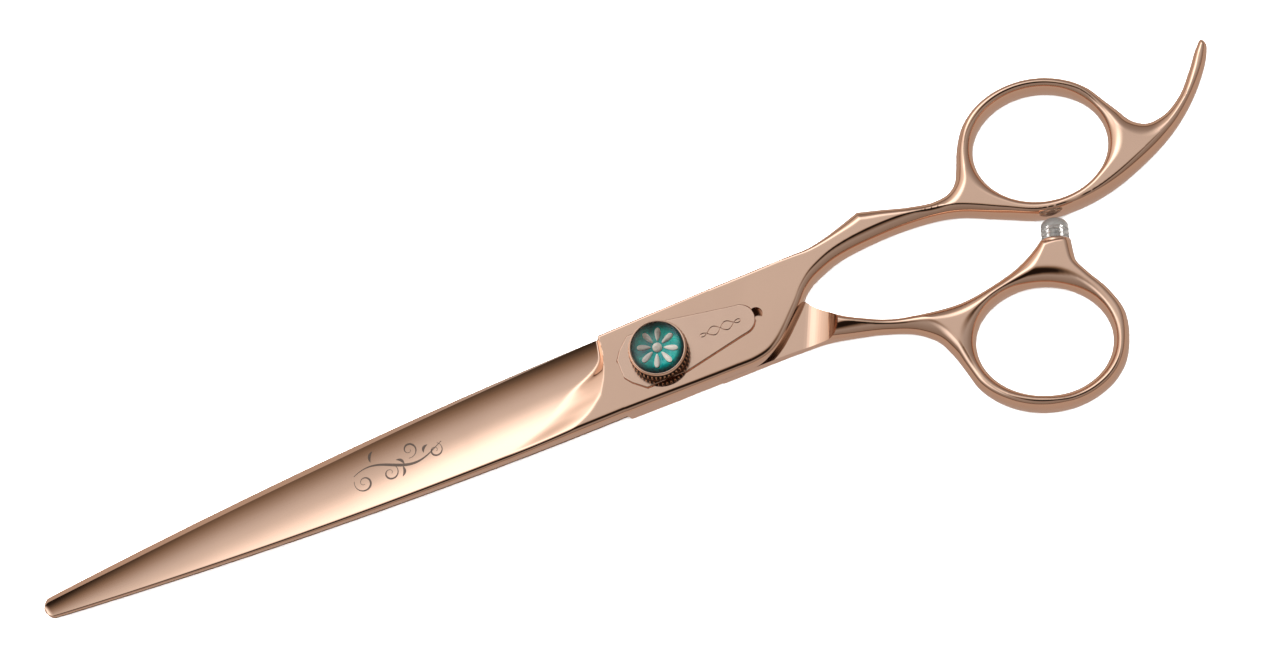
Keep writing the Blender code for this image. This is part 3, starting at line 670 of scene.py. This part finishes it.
def build_thumb_half():
    arc = ellipse(*THUMB_RING, 158.0, -2.0, 10, closed=False)
    inner = spline(THUMB_INNER, corners=(THUMB_SEAT_CORNER,))
    outer = spline(THUMB_OUTER_PAD + arc + THUMB_OUTER_FLANK)
    obj = shear_half("thumb", -1, inner, outer, THUMB_HOLE, THUMB_SHAPE, THUMB_END)
    cut(obj, disc_cutter("counterbore", 4.7, -1.0, 1.75, 96))
    cut(obj, disc_cutter("bush_bore", 3.45, 0.0, PARTING + 1.0, 64))
    boolean(obj, build_collar(), "UNION")
    return obj


# ---------------------------------------------------------------- materials

class Tree:
    """The nodes of one material or of the world, with short calls for what repeats."""

    def __init__(self, owner):
        owner.use_nodes = True
        self.nodes = owner.node_tree.nodes
        self.links = owner.node_tree.links

    def add(self, kind, inputs=None, **settings):
        """A new node. Each of its inputs is given a value, or a socket to link from."""
        node = self.nodes.new("ShaderNode" + kind)
        for name, value in settings.items():
            setattr(node, name, value)
        for name, value in (inputs or {}).items():
            if isinstance(value, bpy.types.NodeSocket):
                self.links.new(value, node.inputs[name])
            else:
                node.inputs[name].default_value = value
        return node

    def math(self, operation, *values):
        return self.add("Math", dict(enumerate(values)), operation=operation).outputs["Value"]

    def spread(self, source, target, within=(0.0, 1.0), ease="LINEAR"):
        """Takes the range within of a source to the target range."""
        inputs = {"Value": source, "From Min": within[0], "From Max": within[1], "To Min": target[0],
                  "To Max": target[1]}
        return self.add("MapRange", inputs, interpolation_type=ease).outputs["Result"]

    def ramp(self, source, stops):
        node = self.add("ValToRGB", {"Fac": source})
        elements = node.color_ramp.elements
        elements[0].position, elements[0].color = stops[0]
        elements[1].position, elements[1].color = stops[-1]
        for place, colour in stops[1:-1]:
            elements.new(place).color = colour
        return node.outputs["Color"]

    def mix(self, factor, first, second, blend="MIX"):
        inputs = {"Factor": factor, "A": first, "B": second}
        return self.add("Mix", inputs, data_type="RGBA", blend_type=blend).outputs["Result"]

    def noise(self, place, scale, detail=2.0, distortion=0.0):
        inputs = {"Vector": place, "Scale": scale, "Detail": detail, "Distortion": distortion}
        return self.add("TexNoise", inputs).outputs["Fac"]

    def place(self):
        return self.add("TexCoord").outputs["Object"]

    def from_axis(self):
        """The distance from the Z axis of the object's own coordinates."""
        flat = self.add("VectorMath", {0: self.place(), 1: (1.0, 1.0, 0.0)}, operation="MULTIPLY")
        return self.add("VectorMath", {0: flat.outputs["Vector"]}, operation="LENGTH").outputs["Value"]

    def relief(self, source, strength, shader):
        bump = self.add("Bump", {"Height": source, "Strength": strength, "Distance": 0.00005})
        self.links.new(bump.outputs["Normal"], shader.inputs["Normal"])


def new_material(name):
    """A material, its tree and its Principled shader."""
    material = bpy.data.materials.new(name)
    tree = Tree(material)
    return material, tree, tree.nodes["Principled BSDF"]


def opaque(colour, share=1.0):
    return (*[c * share for c in colour], 1.0)


def grey(value):
    return (value, value, value, 1.0)


def metal(name, colour, rough=(0.06, 0.12), brush=(1.0, 1.0, 1.0), bump=0.02, patch=90.0):
    """Polished metal: patches of duller polish, fine scratches along one way, edges painted a little brighter
    as a highlight.
    """
    material, tree, shader = new_material(name)
    shader.inputs["Metallic"].default_value = 1.0
    place = tree.place()
    patches = tree.noise(place, patch, 4.0)
    brushed = tree.add("Mapping", {"Vector": place, "Scale": brush}).outputs["Vector"]
    lines = tree.noise(brushed, 3000.0, 3.0)
    dull = tree.math("MULTIPLY_ADD", lines, 0.35, patches)
    tree.links.new(tree.spread(dull, rough, (0.45, 0.9)), shader.inputs["Roughness"])
    tint = tree.ramp(patches, [(0.35, opaque(colour, 0.965)), (0.65, opaque(colour))])
    # Painted highlight: sharp convex edges, found by pointiness, get a paler, brighter colour.
    edge_sheen = tree.spread(tree.add("NewGeometry").outputs["Pointiness"], (0.0, 0.04), (0.52, 0.62))
    tree.links.new(tree.mix(edge_sheen, tint, (1.0, 0.9, 0.82, 1.0)), shader.inputs["Base Color"])
    tree.relief(lines, bump, shader)
    return material


ROSE = (0.90, 0.625, 0.475)
gold = metal("rose_gold_polish", ROSE, rough=(0.05, 0.1), brush=(0.05, 1.0, 1.0), bump=0.015)
gold_plate = metal("rose_gold_leaf_plate", (0.90, 0.64, 0.50), (0.12, 0.2), (0.05, 1.0, 1.0), 0.03)
gold_dial = metal("rose_gold_turned", (0.93, 0.59, 0.39), (0.08, 0.14), (1.0, 1.0, 0.06), 0.03)


def paint_dial_groove_shade(material):
    """Painted shade in the dial's grooves, chosen by the distance from its axis."""
    tree = Tree(material)
    shader = tree.nodes["Principled BSDF"]
    plain = shader.inputs["Base Color"].links[0].from_socket
    place = tree.spread(tree.from_axis(), (0.0, 1.0), (4.9 * MM, 5.3 * MM))
    # Painted shade: radii from the groove bottoms up to just below the crests are mixed towards near black.
    shade_mask = tree.ramp(place, [(0.05, grey(0.0)), (0.15, grey(1.0)), (0.55, grey(0.95)), (0.8, grey(0.0))])
    tree.links.new(tree.mix(shade_mask, plain, (0.07, 0.03, 0.015, 1.0)), shader.inputs["Base Color"])


paint_dial_groove_shade(gold_dial)
etched = metal("etched_lines", (0.20, 0.15, 0.125), rough=(0.4, 0.55), bump=0.1, patch=400.0)
steel = metal("turned_steel", (0.66, 0.64, 0.62), rough=(0.18, 0.32), brush=(1.0, 1.0, 0.05), bump=0.05)
bronze = metal("bearing_bronze", (0.66, 0.44, 0.24), rough=(0.25, 0.4), brush=(1.0, 1.0, 0.05), bump=0.05)
foil = metal("rose_foil_leaf", (0.98, 0.76, 0.70), rough=(0.3, 0.45), bump=0.08, patch=900.0)


def grainy(name, colour, rough, wander, grain, detail):
    """A material that isn't metal, with a faint grain in its colour and its roughness."""
    material, tree, shader = new_material(name)
    noise = tree.noise(tree.place(), grain, detail)
    tint = tree.ramp(noise, [(0.3, opaque(colour, 0.93)), (0.7, opaque(colour))])
    tree.links.new(tint, shader.inputs["Base Color"])
    dull = tree.spread(noise, (rough * (1.0 - wander), rough * (1.0 + wander)))
    tree.links.new(dull, shader.inputs["Roughness"])
    return material, tree, shader, noise


def plastic(name, colour, rough):
    material, tree, shader, noise = grainy(name, colour, rough, 0.2, 2500.0, 2.0)
    tree.relief(noise, 0.05, shader)
    return material


slip = plastic("slip_ring_plastic", (0.88, 0.87, 0.83), 0.4)


def backing_material():
    """Deep teal foil under the stone, with cloudy brighter and darker patches and a rim darkened by painted
    shade.
    """
    material, tree, shader = new_material("teal_backing_foil")
    shader.inputs["Metallic"].default_value = 1.0
    clouds = tree.noise(tree.place(), 320.0, 6.0, 0.8)
    tint = tree.ramp(clouds, [(0.3, (0.0, 0.12, 0.16, 1.0)), (0.5, (0.0, 0.42, 0.40, 1.0)),
                              (0.72, (0.02, 0.80, 0.68, 1.0))])
    # Painted shade: the foil darkens towards nearly black near its outer edge.
    rim = tree.spread(tree.from_axis(), (0.0, 0.85), (2.9 * MM, 4.4 * MM), "SMOOTHSTEP")
    tree.links.new(tree.mix(rim, tint, (0.0, 0.02, 0.03, 1.0)), shader.inputs["Base Color"])
    tree.links.new(tree.spread(clouds, (0.25, 0.5)), shader.inputs["Roughness"])
    return material


def clear_material(name, colour, rough, ior, transmission, grain):
    material, tree, shader, noise = grainy(name, colour, rough, 0.3, grain, 3.0)
    shader.inputs["Transmission Weight"].default_value = transmission
    shader.inputs["IOR"].default_value = ior
    return material


stone = clear_material("emerald_stone", (0.90, 0.99, 0.97), 0.015, 1.52, 1.0, 300.0)
rubber = clear_material("clear_bumper_rubber", (0.56, 0.55, 0.53), 0.1, 1.42, 0.92, 700.0)
backing = backing_material()


# ---------------------------------------------------------------- pieces

def finish(obj, body, material, nodes=(), angle=32.0, weighted=True):
    obj.data.materials.clear()
    obj.data.materials.append(material)
    shade(obj, angle, weighted)
    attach(obj, body)
    if nodes:
        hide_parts(*nodes)
    return obj


def tube(name, line, radius, sides=8):
    """A closed thin tube along a line of (x, y, z) points."""
    line = np.array(line, float)
    ahead = np.gradient(line, axis=0)
    ahead /= np.linalg.norm(ahead, axis=1)[:, None]
    rings = []
    for p, t in zip(line, ahead):
        side = np.cross(t, (0.0, 0.0, 1.0))
        side /= np.linalg.norm(side)
        up = np.cross(side, t)
        ring = []
        for k in range(sides):
            angle = 2 * math.pi * k / sides
            ring.append(tuple(p + radius * (math.cos(angle) * side + math.sin(angle) * up)))
        rings.append(ring)
    return loft(name, rings)


def ribbon(name, strokes, height):
    """Thin strokes of varying width laid on a surface. Each stroke is a list of (x, y, half width)."""
    points = []
    faces = []
    for stroke in strokes:
        line = np.array(stroke, float)
        ahead = np.gradient(line[:, :2], axis=0)
        ahead /= np.linalg.norm(ahead, axis=1)[:, None]
        side = np.stack([-ahead[:, 1], ahead[:, 0]], 1)
        start = len(points)
        for (x, y, half), (u, v) in zip(line, side):
            for across, lift in ((1.0, -0.02), (1.0, 0.012), (-1.0, 0.012), (-1.0, -0.02)):
                px, py = x + across * half * u, y + across * half * v
                points.append((px, py, height(px, py) + lift))
        for k in range(len(line) - 1):
            a = start + 4 * k
            for c in range(4):
                d = (c + 1) % 4
                faces.append((a + c, a + d, a + 4 + d, a + 4 + c))
        last = start + 4 * (len(line) - 1)
        faces += [(start + 3, start + 2, start + 1, start), (last, last + 1, last + 2, last + 3)]
    obj = mesh_object(name, points, faces)
    outward(obj)
    return obj


def curl(centre, start_angle, turns, radius, thick, count=70):
    """A spiral that closes in on its centre, thinning as it goes."""
    stroke = []
    for k in range(count):
        t = k / (count - 1)
        angle = start_angle + turns * 2 * math.pi * t
        r = radius * (1.0 - 0.86 * t)
        stroke.append((centre[0] + r * math.cos(angle), centre[1] + r * math.sin(angle),
                       0.045 + thick * math.sin(math.pi * min(1.0, t * 1.3)) ** 2 * (1.0 - 0.5 * t)))
    return stroke


def build_flourish():
    """A scroll of curls and leaves etched on the hollow of the blade."""
    stem = []
    for k in range(91):
        t = k / 90
        stem.append((-57.2 + 16.4 * t, 0.35 + 1.25 * math.sin(2 * math.pi * t + 0.5),
                     0.06 + 0.2 * math.sin(math.pi * t) ** 2))
    strokes = [
        stem,
        curl((-55.9, -0.75), math.radians(150), 1.35, 1.75, 0.16),
        curl((-51.0, -0.9), math.radians(60), -1.3, 1.55, 0.15),
        curl((-46.6, 1.7), math.radians(250), 1.3, 1.5, 0.15),
        curl((-42.3, -0.2), math.radians(60), -1.35, 1.35, 0.14),
    ]
    leaves = ((-53.6, 2.2, 60, 2.0), (-49.3, 0.9, -50, 1.7), (-48.6, -0.6, -110, 1.9), (-44.4, 0.2, 45, 1.6))
    for x, y, angle, length in leaves:
        turn = math.radians(angle)
        leaf = []
        for k in range(25):
            t = k / 24
            bow = math.sin(math.pi * t)
            leaf.append((x + length * t * math.cos(turn) - 0.35 * bow * math.sin(turn),
                         y + length * t * math.sin(turn) + 0.35 * bow * math.cos(turn), 0.03 + 0.22 * bow))
        strokes.append(leaf)

    def height(x, y):
        return PARTING + blade_height(blade_plan(x, 1), y - LEAN * (BLADE_END - x))

    return ribbon("etched_flourish", strokes, height)


def build_click_plate():
    obj = prism("click_leaf_plate", plate_outline(), PLATE_TOP - 0.8, PLATE_TOP)
    edit = bmesh.new()
    edit.from_mesh(obj.data)
    top = [e for e in edit.edges if all(v.co.z > (PLATE_TOP - 0.01) * MM for v in e.verts)]
    bmesh.ops.bevel(edit, geom=top, offset=0.13 * MM, segments=4, profile=0.5, affect="EDGES")
    edit.to_mesh(obj.data)
    edit.free()
    cut(obj, disc_cutter("bore", 3.6, PAD_TOP - 2.0, PAD_TOP + 1.0, 64))
    obj.data.transform(Matrix.Translation((0.0, 0.09 * MM, 0.0)))
    for phase in (0.0, math.pi):
        line = []
        for k in range(61):
            t = k / 60
            fade = math.sin(math.pi * t) ** 0.5
            line.append((7.6 + 7.6 * t, 0.85 * fade * math.cos(3 * math.pi * t + phase), PLATE_TOP + 0.02))
        cut(obj, tube("line", line, 0.1))
    return obj


def build_dial():
    flutes, per_flute = 44, 10
    steps = flutes * per_flute
    rows = [(6.8, 4.85, 0.0), (6.86, 4.98, 0.0), (6.95, 5.06, 0.0), (7.05, 5.08, 0.0), (7.14, 5.05, 0.0),
            (7.2, 5.04, 0.0), (7.3, 5.14, 0.35), (7.42, 5.22, 1.0), (7.8, 5.25, 1.0), (8.3, 5.25, 1.0),
            (8.8, 5.25, 1.0), (9.0, 5.22, 1.0), (9.15, 5.12, 0.35), (9.25, 5.04, 0.0), (9.4, 5.05, 0.0),
            (9.55, 5.02, 0.0), (9.65, 4.9, 0.0)]
    rings = []
    for z, radius, depth in rows:
        ring = []
        for k in range(steps):
            angle = 2 * math.pi * k / steps
            wave = 0.5 - 0.5 * math.cos(flutes * angle)
            r = radius - 0.3 * depth * wave ** 1.6
            ring.append((r * math.cos(angle), r * math.sin(angle), z))
        rings.append(ring)
    obj = loft("tension_dial_cap", rings)
    cut(obj, disc_cutter("cup", 4.55, 9.05, 11.0, 96))
    cut(obj, disc_cutter("nut_seat", 3.35, 5.0, 8.95, 96))
    return obj


def build_jewel():
    seat, top, radius = 9.71, 11.5, 4.6
    girdle = seat + 0.35
    rise = top - girdle
    sphere = (radius**2 + rise**2) / (2 * rise)
    half = math.asin(radius / sphere)
    profile = []
    for k in range(25):
        angle = half * k / 24
        profile.append((sphere * math.sin(angle), top - sphere * (1 - math.cos(angle))))
    profile += [(radius, seat + 0.08), (radius - 0.08, seat), (0.0, seat)]
    return lathe("jewel_stone", profile, 128)


def build_bezel():
    inner = 4.64
    section = [(0.0, 10.04), (0.03, 10.12), (0.1, 10.19), (0.18, 10.2), (0.26, 10.15), (0.33, 10.03),
               (0.38, 9.88), (0.42, 9.74), (0.42, 9.68), (0.0, 9.68)]
    return lathe("bezel_ring", [(inner + across, z) for across, z in section], 128)


def foil_leaf(name, outline, crown):
    """A leaf of foil, crowned by sinking its rim under its middle."""
    centre = np.mean(outline, axis=0)
    low, face = 9.50, 9.60
    top = face + crown
    rings = []
    for share, z in ((1.0, low), (1.0, face), (0.8, face + crown * 0.6), (0.45, top), (0.05, top)):
        rings.append([(centre[0] + (x - centre[0]) * share, centre[1] + (y - centre[1]) * share, z)
                      for x, y in outline])
    return loft(name, rings)


def build_rosette():
    """Eight leaf petals round a button, cut from thin foil."""
    count, steps = 8, 40
    parts = [foil_leaf("foil_rosette", circle(0.75, steps), 0.06)]
    for petal in range(count):
        turn = 2 * math.pi * (petal + 0.5) / count
        outline = []
        for k in range(steps):
            t = 2 * math.pi * k / steps
            along = 2.2 + 1.15 * math.cos(t)
            across = 0.58 * math.sin(t) * (0.72 + 0.28 * math.cos(t))
            outline.append((along * math.cos(turn) - across * math.sin(turn),
                            along * math.sin(turn) + across * math.cos(turn)))
        parts.append(foil_leaf(f"petal_{petal}", outline, 0.05))
    edit = bmesh.new()
    for part in parts:
        edit.from_mesh(part.data)
    edit.to_mesh(parts[0].data)
    edit.free()
    for part in parts[1:]:
        bpy.data.objects.remove(part, do_unlink=True)
    return parts[0]


def build_stud():
    profile = [(0.0, 8.75), (1.7, 8.75), (2.0, 8.45), (2.0, 6.1), (2.5, 6.1), (2.5, 1.25), (4.42, 1.25),
               (4.5, 1.17), (4.5, 0.42), (4.44, 0.2), (4.3, 0.06), (4.1, 0.0), (3.6, 0.0), (3.55, 0.04),
               (3.45, 0.04), (3.4, 0.0), (0.0, 0.0)]
    obj = lathe("stud_with_head", profile, 96)
    for side in (-1, 1):
        low, high = sorted((side * 2.05, side * 4.0))
        outline = [(-4.0, low), (4.0, low), (4.0, high), (-4.0, high)]
        cut(obj, prism("flat", outline, PARTING - 0.2, PAD_TOP + 0.5))
        cut(obj, disc_cutter("spanner", 0.55, -1.0, 0.7, 32, (side * 2.6, 0.0)))
    return obj


def build_bumper():
    height, radius, dome = 4.05, 2.45, 1.7
    profile = [(0.0, height)]
    for k in range(1, 15):
        angle = math.radians(90.0 - 90.0 * k / 14)
        profile.append((radius * math.cos(angle), height - dome + dome * math.sin(angle)))
    for z in (1.55, 0.8):
        for inset, rise in ((0.0, 0.22), (0.1, 0.14), (0.24, 0.0), (0.1, -0.14), (0.0, -0.22)):
            profile.append((radius - inset, z + rise))
    profile += [(radius, 0.25), (radius - 0.06, 0.14), (radius - 0.16, 0.1), (1.04, 0.1), (1.04, 2.44),
                (0.0, 2.44)]
    obj = lathe("bumper_cap", profile, 72)
    obj.data.transform(bumper_frame())
    return obj


def build_collar():
    """The round seat under the bumper, part of the thumb half."""
    profile = [(0.0, 0.0), (2.35, 0.0), (2.6, -0.08), (2.72, -0.25), (2.74, -0.6), (2.72, -1.4), (2.5, -2.6),
               (1.6, -3.6), (0.0, -4.0)]
    obj = lathe("collar", profile, 64)
    obj.data.transform(bumper_frame())
    return obj


finish(build_finger_half(), "finger_side", gold, ("finger_half",))
finish(build_thumb_half(), "thumb_side", gold, ("thumb_half",))
finish(build_click_plate(), "finger_side", gold_plate, ("click_plate",))
finish(build_dial(), "tension_dial", gold_dial, ("dial",), 40.0)
finish(build_bezel(), "tension_dial", gold_plate, ("bezel",), 50.0)
finish(build_jewel(), "tension_dial", stone, ("jewel",), 40.0, False)
finish(build_rosette(), "tension_dial", foil, ("rosette",), 40.0)
finish(build_stud(), "finger_side", steel, ("pivot_stud",))
finish(build_flourish(), "finger_side", etched)
finish(build_bumper(), "thumb_side", rubber, ("bumper",), 50.0, False)

washers = [(name, slip) for name in ("slip_washer", "dial_washer", "head_washer")]
turned = [("dial_nut", steel), ("pivot_bush", bronze), ("bumper_post", steel)]
for node, material in washers + turned + [("jewel_backing", backing)]:
    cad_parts[node].data.materials.clear()
    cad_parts[node].data.materials.append(material)


# ---------------------------------------------------------------- studio

def build_floor():
    half, level = 3000, -0.15
    outline = [(-half, -half, level), (half, -half, level), (half, half, level), (-half, half, level)]
    obj = mesh_object("floor", outline, [(0, 1, 2, 3)])
    material, tree, shader = new_material("pale_floor")
    shader.inputs["Roughness"].default_value = 0.9
    shader.inputs["Base Color"].default_value = (0.86, 0.86, 0.86, 1.0)
    shader.inputs["Specular IOR Level"].default_value = 0.0
    obj.data.materials.append(material)
    obj.visible_glossy = False


def world_light():
    """Brightness by direction: dim towards the camera, bright behind, with a dark line at the horizon."""
    world = bpy.data.worlds.new("studio")
    bpy.context.scene.world = world
    tree = Tree(world)
    direction = tree.add("TexCoord").outputs["Generated"]
    upright = tree.add("SeparateXYZ", {0: direction}).outputs["Z"]
    levels = tree.ramp(tree.spread(upright, (0.0, 1.0), (-1.0, 1.0)), [
        (0.0, (0.45, 0.375, 0.33, 1.0)),
        (0.42, (0.50, 0.41, 0.35, 1.0)),
        (0.485, (0.40, 0.29, 0.22, 1.0)),
        (0.497, (0.07, 0.032, 0.016, 1.0)),
        (0.515, (0.07, 0.032, 0.016, 1.0)),
        (0.55, (0.26, 0.215, 0.185, 1.0)),
        (0.75, (0.32, 0.29, 0.27, 1.0)),
        (1.0, (0.49, 0.48, 0.475, 1.0)),
    ])

    def towards(aim, near, far, low, high):
        """A factor that goes from low at angle near to high at angle far from a direction."""
        inputs = {0: direction, 1: Vector(aim).normalized()}
        cosine = tree.add("VectorMath", inputs, operation="DOT_PRODUCT").outputs["Value"]
        within = (math.radians(near), math.radians(far))
        return tree.spread(tree.math("ARCCOSINE", cosine), (low, high), within, "SMOOTHSTEP")

    dimming = tree.ramp(towards((0.0, -0.309, 0.951), 13.5, 37.0, 0.0, 1.0), [
        (0.0, (0.03, 0.019, 0.014, 1.0)),
        (0.3, (0.38, 0.29, 0.215, 1.0)),
        (0.6, (0.64, 0.57, 0.51, 1.0)),
        (1.0, (1.0, 1.0, 1.0, 1.0)),
    ])
    rear = towards((0.0, 0.42, 0.90), 10.0, 38.0, 1.35, 1.0)
    rear_left = towards((-0.50, 0.68, 0.54), 12.0, 46.0, 2.8, 1.0)
    background = tree.nodes["Background"]
    tree.links.new(tree.math("MULTIPLY", rear, rear_left), background.inputs["Strength"])
    tree.links.new(tree.mix(1.0, levels, dimming, "MULTIPLY"), background.inputs["Color"])


def softbox(name, centre, size, aim):
    """A large soft panel that glows most in its middle. It lights the scene and shows in the metal only."""
    half_x, half_y = size[0] / 2, size[1] / 2
    outline = [(-half_x, -half_y, 0.0), (half_x, -half_y, 0.0), (half_x, half_y, 0.0), (-half_x, half_y, 0.0)]
    obj = mesh_object(name, outline, [(0, 1, 2, 3)])
    obj.rotation_mode = "QUATERNION"
    obj.rotation_quaternion = (Vector(aim) - Vector(centre)).to_track_quat("-Z", "Y")
    obj.location = Vector(centre) * MM
    material, tree, shader = new_material(name + "_glow")
    tree.nodes.remove(shader)
    split = tree.add("SeparateXYZ", {0: tree.place()})
    fades = []
    for axis, half in (("X", half_x), ("Y", half_y)):
        away = tree.math("ABSOLUTE", split.outputs[axis])
        fades.append(tree.spread(away, (1.0, 0.0), (0.1 * half * MM, half * MM), "SMOOTHSTEP"))
    strength = tree.math("MULTIPLY", tree.math("MULTIPLY", *fades), 0.95)
    glow = tree.add("Emission", {"Color": (0.97, 1.0, 1.04, 1.0), "Strength": strength})
    clear = tree.add("BsdfTransparent")
    both = tree.add("AddShader", {0: glow.outputs[0], 1: clear.outputs[0]})
    tree.links.new(both.outputs[0], tree.nodes["Material Output"].inputs["Surface"])
    obj.data.materials.append(material)
    obj.visible_camera = False
    obj.visible_shadow = False


def build_lights():
    world_light()
    softbox("rear_softbox", (10, 395, 500), (600, 455), (50, 20, 0))
    softbox("left_softbox", (-430, 60, 400), (640, 620), (30, 0, 0))
    lamp = bpy.data.lights.new("floor_fill", "AREA")
    lamp.shape = "RECTANGLE"
    lamp.size, lamp.size_y = 1.6, 1.6
    lamp.energy = 120.0
    obj = bpy.data.objects.new("floor_fill", lamp)
    bpy.context.scene.collection.objects.link(obj)
    obj.location = (0.0, 0.0, 1.5)
    obj.visible_glossy = False
    obj.visible_transmission = False


def build_camera():
    """A long lens, tilted and rolled, whose picture is view_width across and centred near the pivot."""
    roll, tilt = math.radians(22.4), math.radians(18.0)
    view_width, offset = 222.107, (-3.748, 5.327)
    across = Vector((1.0, 0.0, 0.0))
    along = Vector((0.0, math.cos(tilt), math.sin(tilt)))
    back = Vector((0.0, -math.sin(tilt), math.cos(tilt)))
    right = math.cos(roll) * across - math.sin(roll) * along
    up = math.sin(roll) * across + math.cos(roll) * along
    centre = Vector((0.0, 0.0, PARTING)) + right * offset[0] + up * offset[1]
    camera = bpy.data.cameras.new("camera")
    camera.lens = 200.0
    camera.sensor_width = 36.0
    distance = camera.lens / camera.sensor_width * view_width
    obj = bpy.data.objects.new("camera", camera)
    bpy.context.scene.collection.objects.link(obj)
    turn = Matrix((right, up, back)).transposed().to_4x4()
    obj.matrix_world = Matrix.Translation((centre + back * distance) * MM) @ turn
    camera.clip_start, camera.clip_end = 0.05, 20.0
    bpy.context.scene.camera = obj


build_floor()
build_lights()
build_camera()
bpy.context.scene.view_settings.view_transform = "Standard"
